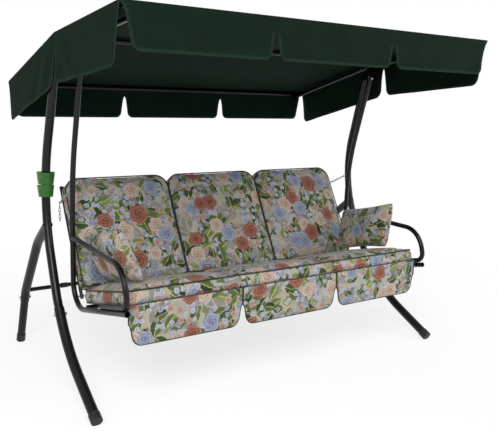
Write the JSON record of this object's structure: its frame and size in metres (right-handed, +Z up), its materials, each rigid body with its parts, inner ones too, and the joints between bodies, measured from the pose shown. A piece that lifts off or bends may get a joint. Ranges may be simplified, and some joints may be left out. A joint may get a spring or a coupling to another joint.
{
  "type": "canopy swing bench",
  "caption": "Garden swing bench with cushioned seat and reclining back hung between bowed tube frames under a tilting fabric canopy with scalloped valances.",
  "frame": {"origin": "on the floor, midway between the side frames and below the middle of the canopy", "axes": "+X along the bench to the sitter's left, +Z up, front towards -Y"},
  "size_m": [1.9988, 1.465, 1.63],
  "materials": {
    "frame_paint": "gloss",
    "leg_paint": "satin",
    "wire_paint": "satin",
    "zinc": "satin",
    "black_plastic": "matte",
    "green_plastic": "gloss",
    "floral_fabric": "matte",
    "canopy_fabric": "matte"
  },
  "bodies": {
    "root": {"post_left": "frame_paint", "post_right": "frame_paint", "front_leg_left": "leg_paint", "front_leg_right": "leg_paint", "rear_upper_leg_left": "frame_paint", "rear_upper_leg_right": "frame_paint", "rear_lower_leg_left": "leg_paint", "rear_lower_leg_right": "leg_paint", "front_feet": "black_plastic", "rear_feet": "black_plastic", "post_plugs": "black_plastic", "rear_crossbar": "frame_paint", "crossbar_couplings": "black_plastic", "leg_bolts": "zinc", "post_collar": "green_plastic", "bracket_bolts": "zinc", "top_bracket_left": "zinc", "top_bracket_right": "zinc"},
    "seat": {"hanger_left": "frame_paint", "hanger_right": "frame_paint", "hanger_eyes": "zinc", "pivot_bushes": "black_plastic", "armrest_left": "frame_paint", "armrest_right": "frame_paint", "seat_front_tube": "frame_paint", "seat_rear_tube": "frame_paint", "seat_wires": "wire_paint", "hinge_pins": "zinc", "chain_eyes": "zinc", "chain_left": "zinc", "chain_right": "zinc", "seat_cushion_left": "floral_fabric", "seat_cushion_middle": "floral_fabric", "seat_cushion_right": "floral_fabric", "skirt_left": "floral_fabric", "skirt_middle": "floral_fabric", "skirt_right": "floral_fabric", "pillow_left": "floral_fabric", "pillow_right": "floral_fabric"},
    "backrest": {"back_tube_left": "frame_paint", "back_tube_right": "frame_paint", "back_top_tube": "frame_paint", "back_bottom_tube": "frame_paint", "back_wires": "wire_paint", "chain_hooks": "zinc", "chain_tail_left": "zinc", "chain_tail_right": "zinc", "back_cushion_left": "floral_fabric", "back_cushion_middle": "floral_fabric", "back_cushion_right": "floral_fabric"},
    "canopy": {"canopy_side_tube_left": "frame_paint", "canopy_side_tube_right": "frame_paint", "canopy_front_tube": "frame_paint", "canopy_ridge_tube": "frame_paint", "canopy_rear_tube": "frame_paint", "canopy_top": "canopy_fabric", "valance_front": "canopy_fabric", "valance_rear": "canopy_fabric", "valance_left": "canopy_fabric", "valance_right": "canopy_fabric"}
  },
  "joints": [
    {"name": "seat_swing", "type": "hinge", "parent": "root", "child": "seat", "pos_m": [0, -0.045, 1.458], "axis": [1, 0, 0], "range_deg": [-15, 15]},
    {"name": "backrest_recline", "type": "hinge", "parent": "seat", "child": "backrest", "pos_m": [0, 0.09, 0.372], "axis": [-1, 0, 0], "range_deg": [0, 11], "deforming": ["chain_left", "chain_right"]},
    {"name": "canopy_tilt", "type": "hinge", "parent": "root", "child": "canopy", "pos_m": [0, 0.06054, 1.5049], "axis": [1, 0, 0], "range_deg": [-10, 15]}
  ]
}
